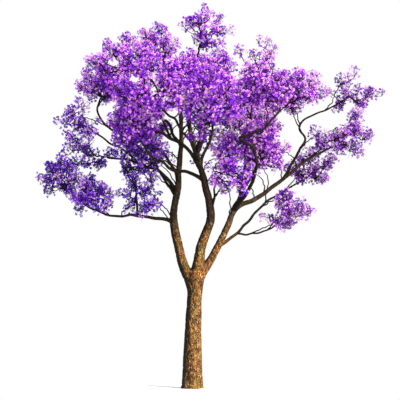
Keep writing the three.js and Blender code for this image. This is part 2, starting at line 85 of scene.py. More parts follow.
# Each limb: its name, the limb that it grows on and the share of that limb's length where it leaves, its
# base and tip diameters, the points that it passes after leaving, and the mass of blossom at its
# tip with the middle and the half-sizes of that mass's space, and how full the mass is.
LIMBS = [
    ("middle_stem", "trunk", 0.86, (0.244, 0.046),
     [(0.18, -0.02, 2.88), (0.385, -0.06, 3.56), (0.31, -0.08, 4.13), (0.07, -0.05, 4.95),
      (-0.07, 0.02, 5.75), (0.13, 0.09, 7.05)],
     "top_tower", (0.27, 0.1, 7.49), (0.57, 0.56, 0.55), 0.82),
    ("left_stem", "trunk", 0.82, (0.232, 0.044),
     [(-0.145, 0.02, 2.48), (-0.35, 0.06, 3.25), (-0.375, 0.09, 3.72), (-0.3, 0.15, 4.25),
      (-0.235, 0.25, 5.25), (-0.29, 0.48, 6.1), (-0.56, 0.9, 6.93)],
     "top_left_back", (-0.8, 1.25, 7.34), (0.5, 0.78, 0.6), 0.9),
    ("right_stem", "trunk", 0.88, (0.19, 0.044),
     [(0.34, -0.01, 2.6), (0.69, -0.04, 3.24), (0.905, -0.04, 3.73), (1.33, -0.06, 3.95),
      (1.87, -0.12, 4.33), (2.39, -0.2, 4.74), (2.88, -0.3, 5.0)],
     "far_right_mid", (3.09, -0.4, 5.25), (0.68, 0.6, 0.65), 0.84),
    ("left_low_bough", "left_stem", 0.295, (0.08, 0.036),
     [(-0.76, 0.0, 3.56), (-1.35, -0.19, 3.58), (-1.99, -0.26, 3.68), (-2.56, -0.23, 4.06)],
     "far_left", (-2.75, -0.2, 4.35), (0.45, 0.54, 0.47), 0.98),
    ("left_low_spur", "left_low_bough", 0.62, (0.044, 0.03),
     [(-1.9, -0.44, 3.72), (-2.0, -0.6, 3.88)],
     "left_low", (-2.05, -0.72, 3.95), (0.5, 0.58, 0.47), 1.02),
    ("left_hanging_bough", "left_low_bough", 0.33, (0.056, 0.032),
     [(-1.17, -0.3, 3.92), (-1.21, -0.4, 4.19), (-1.33, -0.48, 4.45)],
     "left_hanging", (-1.03, -0.62, 4.01), (0.49, 0.52, 0.62), 0.78),
    ("left_middle_bough", "left_stem", 0.42, (0.084, 0.04),
     [(-0.7, 0.34, 4.56), (-1.3, 0.56, 4.79), (-1.82, 0.68, 4.88)],
     "left_middle", (-2.23, 0.76, 4.97), (0.6, 0.66, 0.52), 0.77),
    ("left_outer_bough", "left_middle_bough", 0.55, (0.054, 0.034),
     [(-1.5, 0.28, 5.01), (-2.12, 0.0, 5.4)],
     "left_outer", (-2.39, -0.12, 5.54), (0.45, 0.6, 0.5), 0.77),
    ("left_reaching_bough", "middle_stem", 0.5, (0.084, 0.038),
     [(-0.25, -0.32, 5.12), (-0.78, -0.48, 5.29), (-1.3, -0.26, 5.29), (-1.64, -0.02, 5.37),
      (-1.89, 0.12, 5.6), (-2.01, 0.22, 5.83), (-1.96, 0.3, 6.09)],
     "left_upper", (-1.94, 0.34, 6.4), (0.55, 0.76, 0.49), 0.88),
    ("crossing_bough", "middle_stem", 0.45, (0.082, 0.042),
     [(-0.11, -0.22, 4.5), (-0.43, -0.52, 4.54), (-0.76, -0.9, 4.72), (-1.0, -1.35, 5.0)],
     "left_front", (-1.16, -1.56, 5.48), (0.56, 0.76, 0.82), 1.0),
    ("left_inner_bough", "left_stem", 0.4, (0.074, 0.038),
     [(-0.56, 0.33, 4.33), (-0.76, 0.5, 4.64)],
     "left_inner", (-1.08, 0.52, 4.88), (0.56, 0.6, 0.56), 1.0),
    ("left_back_bough", "left_stem", 0.47, (0.086, 0.042),
     [(-0.56, 0.78, 4.92), (-1.12, 1.36, 5.29)],
     "left_back", (-1.14, 1.7, 5.66), (0.66, 0.8, 0.72), 1.0),
    ("back_left_bough", "left_stem", 0.61, (0.072, 0.04),
     [(-0.62, 1.0, 5.72), (-1.23, 1.8, 6.27)],
     "back_left", (-1.52, 2.15, 6.68), (0.82, 0.76, 0.62), 0.86),
    ("front_left_bough", "middle_stem", 0.53, (0.08, 0.042),
     [(-0.13, -0.9, 5.23), (-0.56, -1.95, 5.6)],
     "front_left", (-0.78, -2.4, 5.93), (0.84, 0.7, 0.66), 1.0),
    ("top_left_bough", "left_reaching_bough", 0.29, (0.056, 0.038),
     [(-0.6, -0.52, 5.56), (-0.68, -0.56, 5.9), (-0.74, -0.62, 6.22), (-1.0, -0.7, 6.5)],
     "top_left_front", (-1.33, -0.9, 6.7), (0.82, 0.8, 0.56), 0.83),
    ("top_front_bough", "middle_stem", 0.68, (0.066, 0.038),
     [(-0.12, -0.42, 6.02), (-0.09, -0.78, 6.26)],
     "top_front", (-0.03, -0.98, 6.34), (0.72, 0.76, 0.6), 1.0),
    ("front_bough", "middle_stem", 0.57, (0.078, 0.042),
     [(0.2, -0.88, 5.42), (0.37, -1.7, 5.62)],
     "front_middle", (0.42, -2.18, 5.79), (0.78, 0.74, 0.66), 1.0),
    ("front_right_bough", "front_bough", 0.48, (0.05, 0.036),
     [(0.64, -1.18, 5.6), (1.12, -1.52, 5.8)],
     "front_right", (1.44, -1.76, 6.04), (0.64, 0.76, 0.54), 1.0),
    ("rising_bough", "middle_stem", 0.51, (0.076, 0.04),
     [(0.38, 0.11, 5.29), (0.5, 0.23, 5.9)],
     "crown_heart", (0.64, 0.33, 6.49), (0.72, 0.72, 0.66), 1.0),
    ("middle_right_bough", "middle_stem", 0.3, (0.06, 0.032),
     [(0.47, -0.24, 4.13), (0.56, -0.48, 4.39)],
     "middle_right", (0.78, -0.7, 4.54), (0.5, 0.58, 0.74), 0.94),
    ("right_heart_bough", "right_stem", 0.4, (0.08, 0.038),
     [(1.19, -0.16, 4.33), (1.4, -0.24, 4.68)],
     "right_heart", (1.46, -0.36, 4.96), (0.57, 0.64, 0.76), 1.14),
    ("right_high_bough", "right_stem", 0.42, (0.088, 0.04),
     [(1.33, -0.8, 4.48), (1.225, -1.12, 4.87), (0.98, -1.21, 5.11), (1.47, -1.26, 5.3),
      (1.6, -1.2, 5.47), (1.79, -1.02, 5.69), (1.96, -0.72, 5.84)],
     "right_upper", (2.17, -0.32, 6.1), (0.66, 0.82, 0.58), 1.0),
    ("top_right_bough", "right_stem", 0.38, (0.07, 0.036),
     [(1.18, 0.24, 4.56), (1.13, 0.33, 5.3), (1.26, 0.36, 5.9), (1.36, 0.39, 6.5)],
     "top_right", (1.42, 0.4, 6.88), (0.59, 0.74, 0.57), 0.74),
    ("far_top_bough", "right_stem", 0.72, (0.062, 0.034),
     [(2.34, -0.06, 5.19), (2.29, 0.04, 5.52), (2.62, -0.04, 5.73), (3.03, -0.09, 5.93)],
     "far_right_top", (3.42, -0.12, 6.14), (0.59, 0.6, 0.54), 0.78),
    ("right_low_bough", "right_stem", 0.21, (0.072, 0.034),
     [(1.01, 0.02, 3.29), (1.48, 0.08, 3.81), (1.85, 0.26, 4.08), (2.3, 0.44, 4.34)],
     "right_low", (2.59, 0.5, 4.6), (0.62, 0.68, 0.47), 0.82),
    ("low_right_bough", "right_low_bough", 0.22, (0.044, 0.03),
     [(1.33, -0.26, 3.19), (1.72, -0.58, 3.37)],
     "low_right", (1.93, -0.72, 3.61), (0.57, 0.56, 0.48), 0.9),
    ("right_back_bough", "right_stem", 0.36, (0.082, 0.042),
     [(1.09, 0.58, 4.36), (1.15, 1.12, 4.96)],
     "right_back", (1.26, 1.48, 5.42), (0.84, 0.78, 0.74), 1.06),
    ("back_right_bough", "middle_stem", 0.56, (0.078, 0.042),
     [(0.48, 0.88, 5.74), (1.13, 1.7, 6.14)],
     "back_right", (1.42, 2.13, 6.43), (0.8, 0.76, 0.64), 1.0),
    ("back_bough", "left_stem", 0.7, (0.066, 0.04),
     [(-0.17, 1.0, 6.23), (-0.02, 1.75, 6.47)],
     "back_middle", (0.04, 2.24, 6.79), (0.82, 0.74, 0.64), 1.0),
]


def unit(vectors):
    """Vectors at length one."""
    return vectors / np.linalg.norm(vectors, axis=-1, keepdims=True)


def line_through(points, steps):
    """A smooth line through points. On each span a cubic takes its end tangents from a centripetal spline,
    whose knots lie the square root of the distance apart, with the ends carried straight on."""
    points = np.asarray(points, dtype=float)
    wide = np.vstack([2 * points[0] - points[1], points, 2 * points[-1] - points[-2]])
    knots = np.sqrt(np.linalg.norm(np.diff(wide, axis=0), axis=1))[:, None]
    before, start, end, after = wide[:-3], wide[1:-2], wide[2:-1], wide[3:]
    gap_before, gap, gap_after = knots[:-2], knots[1:-1], knots[2:]
    leaving = (start - before) / gap_before - (end - before) / (gap_before + gap) + (end - start) / gap
    arriving = (end - start) / gap - (after - start) / (gap + gap_after) + (after - end) / gap_after
    leaving, arriving = (gap * leaving)[:, None], (gap * arriving)[:, None]
    start, end = start[:, None], end[:, None]
    t = (np.arange(steps) / steps)[None, :, None]
    square = 3 * (end - start) - 2 * leaving - arriving
    cube = 2 * (start - end) + leaving + arriving
    spans = start + leaving * t + square * t**2 + cube * t**3
    return np.vstack([spans.reshape(-1, 3), points[-1:]])


def length_along(line):
    """The way from a line's start to each of its points."""
    return np.concatenate([[0], np.cumsum(np.linalg.norm(np.diff(line, axis=0), axis=1))])


def crooked(line, swing, waves, phase):
    """A line that wanders from side to side: on each axis a sine of the way with a finer, smaller sine on
    it, times each point's swing."""
    turns = 2 * np.pi * (length_along(line)[:, None] / np.array(waves) + phase * np.arange(1, 4))
    return line + swing[:, None] * (np.sin(turns) + FINE_CROOK_SHARE * np.sin(FINE_CROOK_TURNS * turns))


def places_on(line, shares):
    """Points at shares of a line's length."""
    way = length_along(line)
    wanted = np.asarray(shares) * way[-1]
    return np.stack([np.interp(wanted, way, line[:, axis]) for axis in range(3)], axis=-1)


def limb_radius(limb, shares):
    """Half a limb's diameter: the tip's, plus what is left of the base's by a power of the way to go, with
    the base swollen by a collar that fades as an exponential of the way from the parent's surface."""
    base, tip = limb["radii"]
    clear = np.maximum(0, shares * limb["length"] - limb["buried"])
    collar = 1 + COLLAR_SWELL * np.exp(-clear / (COLLAR_LENGTH * base))
    return tip + (base * collar - tip) * (1 - shares) ** TAPER_POWER


grown = {}
for order, (name, parent, share, diameters, bends, blossom, middle, reach, fullness) in enumerate(LIMBS):
    if parent == "trunk":
        height = FORK_HEIGHT * share
        start = (float(trunk_middle(height)), 0.0, height)
        buried = float(trunk_radius(height))
    else:
        start = places_on(grown[parent]["line"], share)
        buried = float(limb_radius(grown[parent], share))
    smooth_line = line_through([start, *bends], LINE_STEPS)
    way = length_along(smooth_line)
    is_stem = diameters[0] > THINNEST_STEM
    swing = (STEM_CROOK if is_stem else BOUGH_CROOK) * np.sin(np.pi * way / way[-1])
    line = crooked(smooth_line, swing, CROOK_WAVES, CROOK_PHASE * order)
    grown[name] = {
        "name": name, "line": line, "length": length_along(line)[-1], "buried": buried,
        "radii": (diameters[0] / 2, diameters[1] / 2), "is_stem": is_stem, "blossom": blossom,
        "middle": np.array(middle), "reach": np.array(reach), "fullness": fullness,
    }
limbs = list(grown.values())

# Bark. Thin, scaly, furrowed bark covers the trunk and every limb, finer further up and painted darker
# further up as shade where the crown's shadow falls. At the fork the trunk and the three stems have grown
# together, so that it runs over rounded saddles there.
DISPLAY_TOE = 0.04045
DISPLAY_TOE_SLOPE = 12.92
DISPLAY_LIFT = 0.055
DISPLAY_POWER = 2.4
DEAL_STEPS = (127.1, 311.7, 74.7)
DEAL_SPREAD = 43758.5453


def tint(red, green, blue):
    """A colour given on the 0 to 255 display scale, as the linear value a shader takes: straight
    near black and a power above, as displays are made to show it."""
    display = np.array([red, green, blue]) / 255
    curved = ((display + DISPLAY_LIFT) / (1 + DISPLAY_LIFT)) ** DISPLAY_POWER
    linear = np.where(display <= DISPLAY_TOE, display / DISPLAY_TOE_SLOPE, curved)
    return (*linear.tolist(), 1.0)


def dealt_out(*counts):
    """A value from 0 to 1 for each set of numbers: the fraction of a large multiple of the sine of their
    sum, each times its own step."""
    wave = DEAL_SPREAD * np.sin(sum(count * step for count, step in zip(counts, DEAL_STEPS)))
    return wave - np.floor(wave)


def between(ends, share):
    """The value that lies a share of the way from one end to the other."""
    return ends[0] + (ends[1] - ends[0]) * share


def rough(around, along, period, seed):
    """Smooth noise from -1 to 1: a value dealt to each whole place and eased between places; the first
    parameter wraps at the period."""
    whole_around = np.floor(around)
    whole_along = np.floor(along)

    def eased(share):
        return share**2 * (3 - 2 * share)

    def row(number):
        ends = [2 * dealt_out((whole_around + step) % period, number, seed) - 1 for step in (0, 1)]
        return between(ends, eased(around - whole_around))

    return between((row(whole_along), row(whole_along + 1)), eased(along - whole_along))


FULL_RELIEF_GIRTH = 0.75
KNOBS_AROUND = 5
KNOB_HEIGHT = 0.31
KNOB_DEPTH = 0.008
FEWEST_PLATES = 5
PLATE_WIDTH = 0.06
PLATE_HEIGHT = 0.2
PLATE_DEPTH = 0.011
PLATE_LEVEL = 0.75
FURROW_SHARPNESS = 3.0
LEFT_SLANT = 0.8
RIGHT_SLANT = -1.1
RIGHT_CLIMB = 1.4
RIGHT_SHARE = 0.8
BENDS_AROUND = 6
BEND_HEIGHT = 0.1
BEND_DEPTH = 0.7
FEWEST_SCALES = 7
SCALE_WIDTH = 0.02
SCALE_HEIGHT = 0.034
SCALE_DEPTH = 0.003


def bark_relief(share, height, girth, seed):
    """How far bark stands out: broad knobs, plates parted by furrows where the sum of two noises crosses
    zero, and fine scales. One noise winds up the limb to the left and the other to the right, so that
    furrows meet at slants; all of it is less on a slimmer limb."""
    knobs = rough(share * KNOBS_AROUND, height / KNOB_HEIGHT, KNOBS_AROUND, seed)
    plates_around = max(FEWEST_PLATES, round(girth / PLATE_WIDTH))
    climb = height / PLATE_HEIGHT
    bend = BEND_DEPTH * rough(share * BENDS_AROUND, height / BEND_HEIGHT, BENDS_AROUND, seed + 3)
    turn = share * plates_around + bend
    left = rough(turn + LEFT_SLANT * climb, climb, plates_around, seed + 1)
    right = rough(turn + RIGHT_SLANT * climb, RIGHT_CLIMB * climb, plates_around, seed + 4)
    furrows = np.minimum(1, FURROW_SHARPNESS * np.abs(left + RIGHT_SHARE * right))
    scales_around = max(FEWEST_SCALES, round(girth / SCALE_WIDTH))
    scales = rough(share * scales_around + bend, height / SCALE_HEIGHT, scales_around, seed + 2)
    size = min(1, girth / FULL_RELIEF_GIRTH)
    return size * (KNOB_DEPTH * knobs + PLATE_DEPTH * (furrows - PLATE_LEVEL) + SCALE_DEPTH * scales)


def ring_wall(count, sides):
    """The places of points on rings, counted round and then along, and of the next point round from each,
    with the wall between the rings: two triangles between neighbours on each pair of rings."""
    places = np.arange(count * sides).reshape(count, sides)
    onward = np.roll(places, -1, axis=1)
    corner, beside, ahead, across = places[:-1], onward[:-1], places[1:], onward[1:]
    wall = np.stack([corner, beside, across, corner, across, ahead], axis=-1).reshape(-1, 3)
    return places, onward, wall


def tube_surface(rings):
    """Rings of points as a closed surface of triangles: the wall between them, and a fan to a middle point
    over each end."""
    places, onward, wall = ring_wall(*rings.shape[:2])
    first_middle = np.full(places.shape[1], places.size)
    first_fan = np.stack([first_middle, onward[0], places[0]], axis=1)
    last_fan = np.stack([first_middle + 1, places[-1], onward[-1]], axis=1)
    middles = rings[[0, -1]].mean(axis=1)
    return np.concatenate([rings.reshape(-1, 3), middles]), np.concatenate([wall, first_fan, last_fan])


def placed(name, data):
    """An object that holds some data, put into the scene."""
    holder = bpy.data.objects.new(name, data)
    bpy.context.scene.collection.objects.link(holder)
    return holder


def surface_piece(name, points, triangles, finishes, finish_of_face=None, smooth=True):
    """A piece from an array of points and an array of triangles, each with its own finish if told."""
    mesh = bpy.data.meshes.new(name)
    mesh.vertices.add(len(points))
    mesh.vertices.foreach_set("co", np.ascontiguousarray(points, dtype=np.float32).ravel())
    mesh.loops.add(triangles.size)
    mesh.loops.foreach_set("vertex_index", np.ascontiguousarray(triangles, dtype=np.int32).ravel())
    mesh.polygons.add(len(triangles))
    mesh.polygons.foreach_set("loop_start", np.arange(0, triangles.size, 3, dtype=np.int32))
    for finish in finishes:
        mesh.materials.append(finish)
    if finish_of_face is not None:
        mesh.polygons.foreach_set("material_index", finish_of_face.astype(np.int32))
    mesh.polygons.foreach_set("use_smooth", np.full(len(triangles), smooth))
    mesh.update(calc_edges=True)
    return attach(placed(name, mesh), "root")


def new_material(name):
    """A material with nodes, and its node tree and main shader."""
    material = bpy.data.materials.new(name)
    material.use_nodes = True
    shader = material.node_tree.nodes["Principled BSDF"]
    return material, material.node_tree, shader


def add_node(tree, kind, sockets, **settings):
    """A shader node of some kind, each of whose sockets takes a plain value or another node's output."""
    node = tree.nodes.new("ShaderNode" + kind)
    for name, setting in settings.items():
        setattr(node, name, setting)
    for socket, given in sockets.items():
        if isinstance(given, bpy.types.NodeSocket):
            tree.links.new(given, node.inputs[socket])
        else:
            node.inputs[socket].default_value = given
    return node


def spread(tree, value, start, end, least=0.0, most=1.0, curve="LINEAR"):
    """A node's value taken from one range to another and held at its ends, evenly or along a curve."""
    sockets = {"Value": value, "From Min": start, "From Max": end, "To Min": least, "To Max": most}
    return add_node(tree, "MapRange", sockets, interpolation_type=curve).outputs["Result"]


def facing(tree, direction, side):
    """How far a node's direction points to a side: their dot product."""
    sockets = {0: direction, 1: side}
    return add_node(tree, "VectorMath", sockets, operation="DOT_PRODUCT").outputs["Value"]


BARK_STRETCH = (1.0, 1.0, 0.26)
FURROW_WIDTH = 0.085
GRAIN_SHARE = 0.5
MOSS_FROM = (0.44, 0.62)
MOSS_COVER = 0.6
FLECKS_FROM = (0.58, 0.7)
BROWNS_FROM = (0.36, 0.5, 0.66)
# Painted shade: bark that faces the shady side, away from the key light, is darkened towards a near-black
# brown.
SHADY_SIDE = (-0.95, 0.0, -0.3)
SIDE_SHADE_FROM = (0.05, 0.5)
SIDE_SHADE_COVER = 0.95
PAINTED_SIDE_SHADE = tint(25, 22, 15)
MOSS_SHADE = tint(132, 112, 44)


def bark_weathering_group():
    """Bark's pattern on Object coordinates, drawn out up the tree: dark furrows where a noise is near its
    middle, patches, broader moss and pale flecks where a noise is high, and the height of it all."""
    group = bpy.data.node_groups.new("bark_weathering", "ShaderNodeTree")
    group.interface.new_socket("Furrow Scale", in_out="INPUT", socket_type="NodeSocketFloat")
    given = group.nodes.new("NodeGroupInput")
    place = add_node(group, "TexCoord", {}).outputs["Object"]
    drawn_out = add_node(group, "Mapping", {"Vector": place, "Scale": BARK_STRETCH}).outputs["Vector"]

    def noise(vector, scale, detail, roughness, distortion=0.0):
        sockets = {"Vector": vector, "Scale": scale, "Detail": detail, "Roughness": roughness}
        sockets["Distortion"] = distortion
        return add_node(group, "TexNoise", sockets).outputs["Fac"]

    cracks = noise(drawn_out, given.outputs["Furrow Scale"], detail=4.0, roughness=0.6, distortion=0.7)
    off_middle = add_node(group, "Math", {0: cracks, 1: 0.5}, operation="SUBTRACT").outputs["Value"]
    distance = add_node(group, "Math", {0: off_middle}, operation="ABSOLUTE").outputs["Value"]
    plates = spread(group, distance, 0.0, FURROW_WIDTH)
    grain = noise(drawn_out, scale=80.0, detail=4.0, roughness=0.6)
    damp_spots = noise(place, scale=3.1, detail=5.0, roughness=0.62)
    specks = noise(place, scale=46.0, detail=2.0, roughness=0.5)
    height = add_node(group, "Math", {0: grain, 1: GRAIN_SHARE, 2: plates}, operation="MULTIPLY_ADD")
    made = {
        "Plates": plates,
        "Patches": noise(place, scale=13.0, detail=6.0, roughness=0.72),
        "Moss": spread(group, damp_spots, *MOSS_FROM, most=MOSS_COVER),
        "Flecks": spread(group, specks, *FLECKS_FROM),
        "Height": height.outputs["Value"],
    }
    for output in made:
        group.interface.new_socket(output, in_out="OUTPUT", socket_type="NodeSocketFloat")
    end = group.nodes.new("NodeGroupOutput")
    for output, value in made.items():
        group.links.new(value, end.inputs[output])
    return group


bark_weathering = bark_weathering_group()


def bark_material(name, furrow_scale, browns, fleck, furrow, crown_shadow_paint, turns_at):
    """Bark mottled from a dark to a pale brown by its patches, overgrown with thin moss, dotted with pale
    flecks and cut by dark furrows. Between two heights it turns to a darker brown, painted shade where the
    crown's shadow falls, and it is painted dark as shade where it faces the shady side, away from the key
    light."""
    material, tree, shader = new_material(name)
    weathering = add_node(tree, "Group", {"Furrow Scale": furrow_scale}, node_tree=bark_weathering).outputs
    mottle = add_node(tree, "ValToRGB", {"Fac": weathering["Patches"]})
    stops = mottle.color_ramp.elements
    stops.new(BROWNS_FROM[1])
    for stop, position, brown in zip(stops, BROWNS_FROM, browns):
        stop.position = position
        stop.color = brown
    # Painted shade: between the two heights of turns_at the bark turns towards a darker brown that stands in
    # for the crown's shadow.
    place = add_node(tree, "TexCoord", {}).outputs["Object"]
    height = add_node(tree, "SeparateXYZ", {"Vector": place}).outputs["Z"]
    climb = spread(tree, height, *turns_at, curve="SMOOTHSTEP")
    # Painted shade: the more the bark's normal faces the shady side, the more it is darkened.
    normal = add_node(tree, "NewGeometry", {}).outputs["Normal"]
    painted_side_shade = spread(tree, facing(tree, normal, SHADY_SIDE), *SIDE_SHADE_FROM, most=SIDE_SHADE_COVER)

    def layer(mask, under, over):
        return add_node(tree, "MixRGB", {"Fac": mask, "Color1": under, "Color2": over}).outputs["Color"]

    mossy = layer(weathering["Moss"], mottle.outputs["Color"], MOSS_SHADE)
    flecked = layer(weathering["Flecks"], mossy, fleck)
    upper = layer(climb, flecked, crown_shadow_paint)
    side_shaded = layer(painted_side_shade, upper, PAINTED_SIDE_SHADE)
    furrowed = layer(weathering["Plates"], furrow, side_shaded)
    bump = add_node(tree, "Bump", {"Height": weathering["Height"], "Strength": 0.8, "Distance": 0.007})
    tree.links.new(furrowed, shader.inputs["Base Color"])
    tree.links.new(bump.outputs["Normal"], shader.inputs["Normal"])
    shader.inputs["Roughness"].default_value = 0.92
    shader.inputs["Specular IOR Level"].default_value = 0.2
    return material


# Each bark's crown shade colour is painted shade: the darker brown it turns to higher up, where the crown's
# shadow falls.
TRUNK_BARK = bark_material(
    "trunk_bark", furrow_scale=24.0, browns=(tint(70, 36, 15), tint(140, 82, 36), tint(204, 142, 66)),
    fleck=tint(240, 216, 160), furrow=tint(30, 20, 9), crown_shadow_paint=tint(88, 69, 51), turns_at=(3.1, 3.65),
)
LIMB_BARK = bark_material(
    "limb_bark", furrow_scale=34.0, browns=(tint(72, 42, 20), tint(136, 86, 40), tint(190, 140, 72)),
    fleck=tint(220, 194, 140), furrow=tint(20, 14, 8), crown_shadow_paint=tint(54, 43, 31), turns_at=(2.6, 3.5),
)


def round_about(across, beside, turns):
    """Directions at some turns round an axis: cosine times one way across it plus sine times the other."""
    return np.cos(turns)[..., None] * across + np.sin(turns)[..., None] * beside


def square_to(headings, cross):
    """Two directions square to each heading and to each other, the first square to a cross one too."""
    across = unit(np.cross(headings, cross))
    return across, np.cross(headings, across)


def rings_along(line, radii, angles):
    """Circles carried along a line: at each point, radius times cosine and sine of the angles along two
    directions across the line, the first square to the world axis that the line follows least."""
    heading = unit(np.gradient(line, axis=0))
    least_followed = np.eye(3)[np.argmin(np.abs(heading).max(axis=0))]
    across, beside = square_to(heading, least_followed)
    return line[:, None] + radii[..., None] * round_about(across[:, None], beside[:, None], angles)


TRUNK_SIDES = 128
TRUNK_RING_SPACING = 0.0125
TRUNK_GIRTH = 1.05
TRUNK_SEED = 1
DOME_RINGS = 12
DOME_TILT = 0.48 * np.pi
FORK_TOP_SHARE = 0.93
FORK_ROUNDING = 0.022
FORK_HEIGHTS = (1.4, 3.3)
FORK_MOST_PUSH = 0.06
FORK_STEPS = 8
FORK_BALLS = 80
STEM_FOOT_SHARE = 0.72
STEM_FOOT_LENGTH = 0.4

trunk_top = FORK_TOP_SHARE * FORK_HEIGHT
trunk_heights = np.linspace(0, trunk_top, round(trunk_top / TRUNK_RING_SPACING))
trunk_line = np.stack([trunk_middle(trunk_heights), np.zeros(len(trunk_heights)), trunk_heights], axis=1)


def skin_radius(limb, shares):
    """A limb's radius under its bark; a stem's is less at its foot, where the trunk buries it."""
    foot = STEM_FOOT_SHARE + (1 - STEM_FOOT_SHARE) * shares * limb["length"] / STEM_FOOT_LENGTH
    return limb_radius(limb, shares) * (np.minimum(1, foot) if limb["is_stem"] else 1)


fork_members = [(trunk_line[::2], trunk_radius(trunk_heights[::2]))]
for stem in [limb for limb in limbs if limb["is_stem"]]:
    shares = np.linspace(0, (FORK_HEIGHTS[1] - FORK_HEIGHTS[0]) / stem["length"], FORK_BALLS)
    fork_members.append((places_on(stem["line"], shares), skin_radius(stem, shares)))


def room_to_fork(points):
    """The room between points and the rounded union of trunk and stems, each a row of balls on its line:
    minus the rounding times the log of the summed exponentials of minus each room over the rounding."""
    rooms = np.stack([
        (np.linalg.norm(points[:, None] - line, axis=2) - radii).min(axis=1) for line, radii in fork_members])
    least = rooms.min(axis=0)
    return least - FORK_ROUNDING * np.log(np.exp((least - rooms) / FORK_ROUNDING).sum(axis=0))


def push_to_fork(bare, middles):
    """How far each point of a bare skin moves straight away from its middle to lie on the fork's rounded
    union: none far from the fork, and never so far that what lies deep inside comes out."""
    push = np.zeros(bare.shape[:2])
    near = (bare[..., 2] > FORK_HEIGHTS[0]) & (bare[..., 2] < FORK_HEIGHTS[1])
    points = bare[near]
    outward = unit(points - np.broadcast_to(middles[:, None], bare.shape)[near])
    moved = np.zeros(len(points))
    for _ in range(FORK_STEPS):
        moved = np.clip(moved - room_to_fork(points + moved[:, None] * outward), 0, FORK_MOST_PUSH)
    push[near] = moved
    return push


def trunk_rings():
    """Level sections of radius times root lobes plus bark relief, closed at the fork by half a ball."""
    domed = np.linspace(0, DOME_TILT, DOME_RINGS + 1)[1:]
    middles = np.concatenate([trunk_line, np.repeat(trunk_line[-1:], len(domed), axis=0)])
    tilt = np.concatenate([np.zeros(len(trunk_line)), domed])[:, None]
    z = middles[:, 2:]
    share = np.arange(TRUNK_SIDES)[None, :] / TRUNK_SIDES
    angle = 2 * np.pi * share
    level = np.cos(tilt)
    outward = np.stack([level * np.cos(angle), level * np.sin(angle), np.sin(tilt) + 0 * angle], axis=-1)
    lobes = 1 + ROOT_LOBE_DEPTH * np.cos(ROOT_LOBES * angle) * np.exp(-z / (2 * ROOT_FLARE_HEIGHT))
    radius = trunk_radius(z) * lobes
    push = push_to_fork(middles[:, None] + radius[..., None] * outward, middles)
    relief = bark_relief(share, z + trunk_radius(z) * tilt, TRUNK_GIRTH, TRUNK_SEED) * level
    return middles[:, None] + (radius + push + relief)[..., None] * outward


trunk = surface_piece("trunk_bark", *tube_surface(trunk_rings()), [TRUNK_BARK])
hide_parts("trunk")

STEM_SIDES = 52
BOUGH_SIDES = 18
STEM_RING_SPACING = 0.02
BOUGH_RING_SPACING = 0.026
FEWEST_RINGS = 16
FADING_RELIEF = 1.4
FIRST_LIMB_SEED = 10
STEM_BURIED_LENGTH = 0.22

for order, limb in enumerate(limbs):
    sides = STEM_SIDES if limb["is_stem"] else BOUGH_SIDES
    spacing = STEM_RING_SPACING if limb["is_stem"] else BOUGH_RING_SPACING
    shares = np.linspace(0, 1, max(FEWEST_RINGS, round(limb["length"] / spacing)))
    middles = places_on(limb["line"], shares)
    around = np.arange(sides) / sides
    girth = 2 * np.pi * limb["radii"][0]
    seed = FIRST_LIMB_SEED + order
    relief = bark_relief(around[None, :], (shares * limb["length"])[:, None], girth, seed)
    fading = np.minimum(1, FADING_RELIEF * limb_radius(limb, shares) / limb["radii"][0])[:, None]
    radii = skin_radius(limb, shares)[:, None] * np.ones(sides)
    if limb["is_stem"]:
        out_of_trunk = np.minimum(1, shares * limb["length"] / STEM_BURIED_LENGTH)[:, None]
        radii = radii + out_of_trunk * push_to_fork(rings_along(middles, radii, 2 * np.pi * around), middles)
    rings = rings_along(middles, radii + relief * fading, 2 * np.pi * around)
    finish = TRUNK_BARK if limb["is_stem"] else LIMB_BARK
    piece = surface_piece(limb["name"] + "_bark", *tube_surface(rings), [finish])
    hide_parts(limb["name"])

# Twigs. From the tip of each limb one stem grows on into its mass of blossom and branches to the foot
# of every panicle, and thinner twigs and shoots leave the limbs on the way. They are crooked, with dark
# bark that is painted darker still as the crown's shade higher up, and each keeps clear of the older limbs.

# Where panicles stand in a mass's space, and how far from each other and from what is near.
SCATTER_ROOT = 1.2207440846
SEED_STEP = 0.618034
AXIS_ENDS = ((-1, 0, 0), (1, 0, 0), (0, -1, 0), (0, 1, 0), (0, 0, 1))
OUTWARD_BIAS = 0.3
LOWEST_HEADING = -0.8
PUFF_RADIUS = 0.115
PANICLE_SPACING = 0.088
PANICLES_PER_M2 = 186
PANICLE_TRIES = 1600
CLUMP_SPACING = 0.52
CLUMP_PULL = 0.4
MOST_CLUMP_PULL = 0.75
PANICLE_RISE = np.array([0.0, 0.0, 0.7])
PANICLE_FOOT_DEPTH = 0.5 * PUFF_RADIUS
SPACE_MARGIN = 0.08
LIMB_MARGIN = 0.06
LIMB_BALLS = 60

# How twigs branch to them, and how thick and how crooked they are.
STEM_REACH = (0.28, 0.62)
PATH_BIAS = 0.3
JOINS_TRIED = 6
CLEAR_FROM = 0.15
CLEAR_STEPS = 6
TWIG_MARGIN = 0.012
TWIG_TIP_RADIUS = 0.0072
TWIG_LOAD_POWER = 0.42
THICKEST_TWIG = 0.9
TWIG_SIDES = 5
TWIG_STEPS = 6
TWIG_CROOK = 0.016
TWIG_WAVES = (0.17, 0.21, 0.14)

# Twigs and shoots that leave a limb on its way.
SIDE_TWIG_SPACING = 0.34
SIDE_TWIG_SHARE = 0.84
SIDE_TWIG_REACH = (0.15, 0.95)
SIDE_TWIG_RISE = 0.08
SIDE_TWIG_BOW = 0.18
SIDE_TWIG_LOAD = np.array([7.0, 3.0, 1.0])
SIDE_TWIG_UNEVENNESS = 0.7
HEADING_STEP = 0.01
SHOOT_SPACING = 0.12
SHOOT_LENGTH = 0.3
SHOOT_BOW = 0.16
SHOOT_RISE = np.array([0.0, 0.0, 0.3])
SHOOT_SEED = 40

CAMERA_PLACE = (0.168, -30.0, 2.2)

